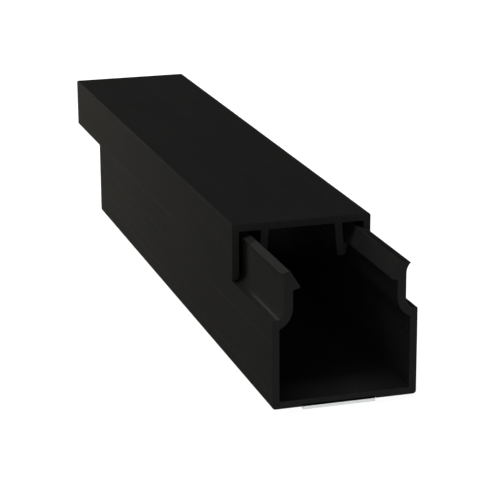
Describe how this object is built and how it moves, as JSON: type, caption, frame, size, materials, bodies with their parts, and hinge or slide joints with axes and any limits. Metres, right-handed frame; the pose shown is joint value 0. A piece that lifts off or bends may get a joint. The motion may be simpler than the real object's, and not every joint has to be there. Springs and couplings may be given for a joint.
{
  "type": "adhesive cable trunking",
  "caption": "Square plastic cable trunking with a clip-on cover drawn partly back along its base, foam tape and release liner underneath.",
  "frame": {"origin": "on the lower face of the release liner, midway along the base and in the middle of the section's width", "axes": "+X across the section, +Y along the trunking towards the end that the cover overhangs, +Z from the adhesive face to the cover"},
  "size_m": [0.04, 0.238, 0.0409],
  "materials": {
    "base_plastic": "satin",
    "cover_plastic": "satin",
    "tape_foam": "matte",
    "liner_paper": "matte"
  },
  "bodies": {
    "base": {"trunking_base": "base_plastic", "foam_tape": "tape_foam", "release_liner": "liner_paper"},
    "cover": {"trunking_cover": "cover_plastic"}
  },
  "joints": [
    {"name": "cover_slide", "type": "slide", "parent": "base", "child": "cover", "axis": [0, 1, 0], "range_m": [-0.036, 0.065]}
  ]
}
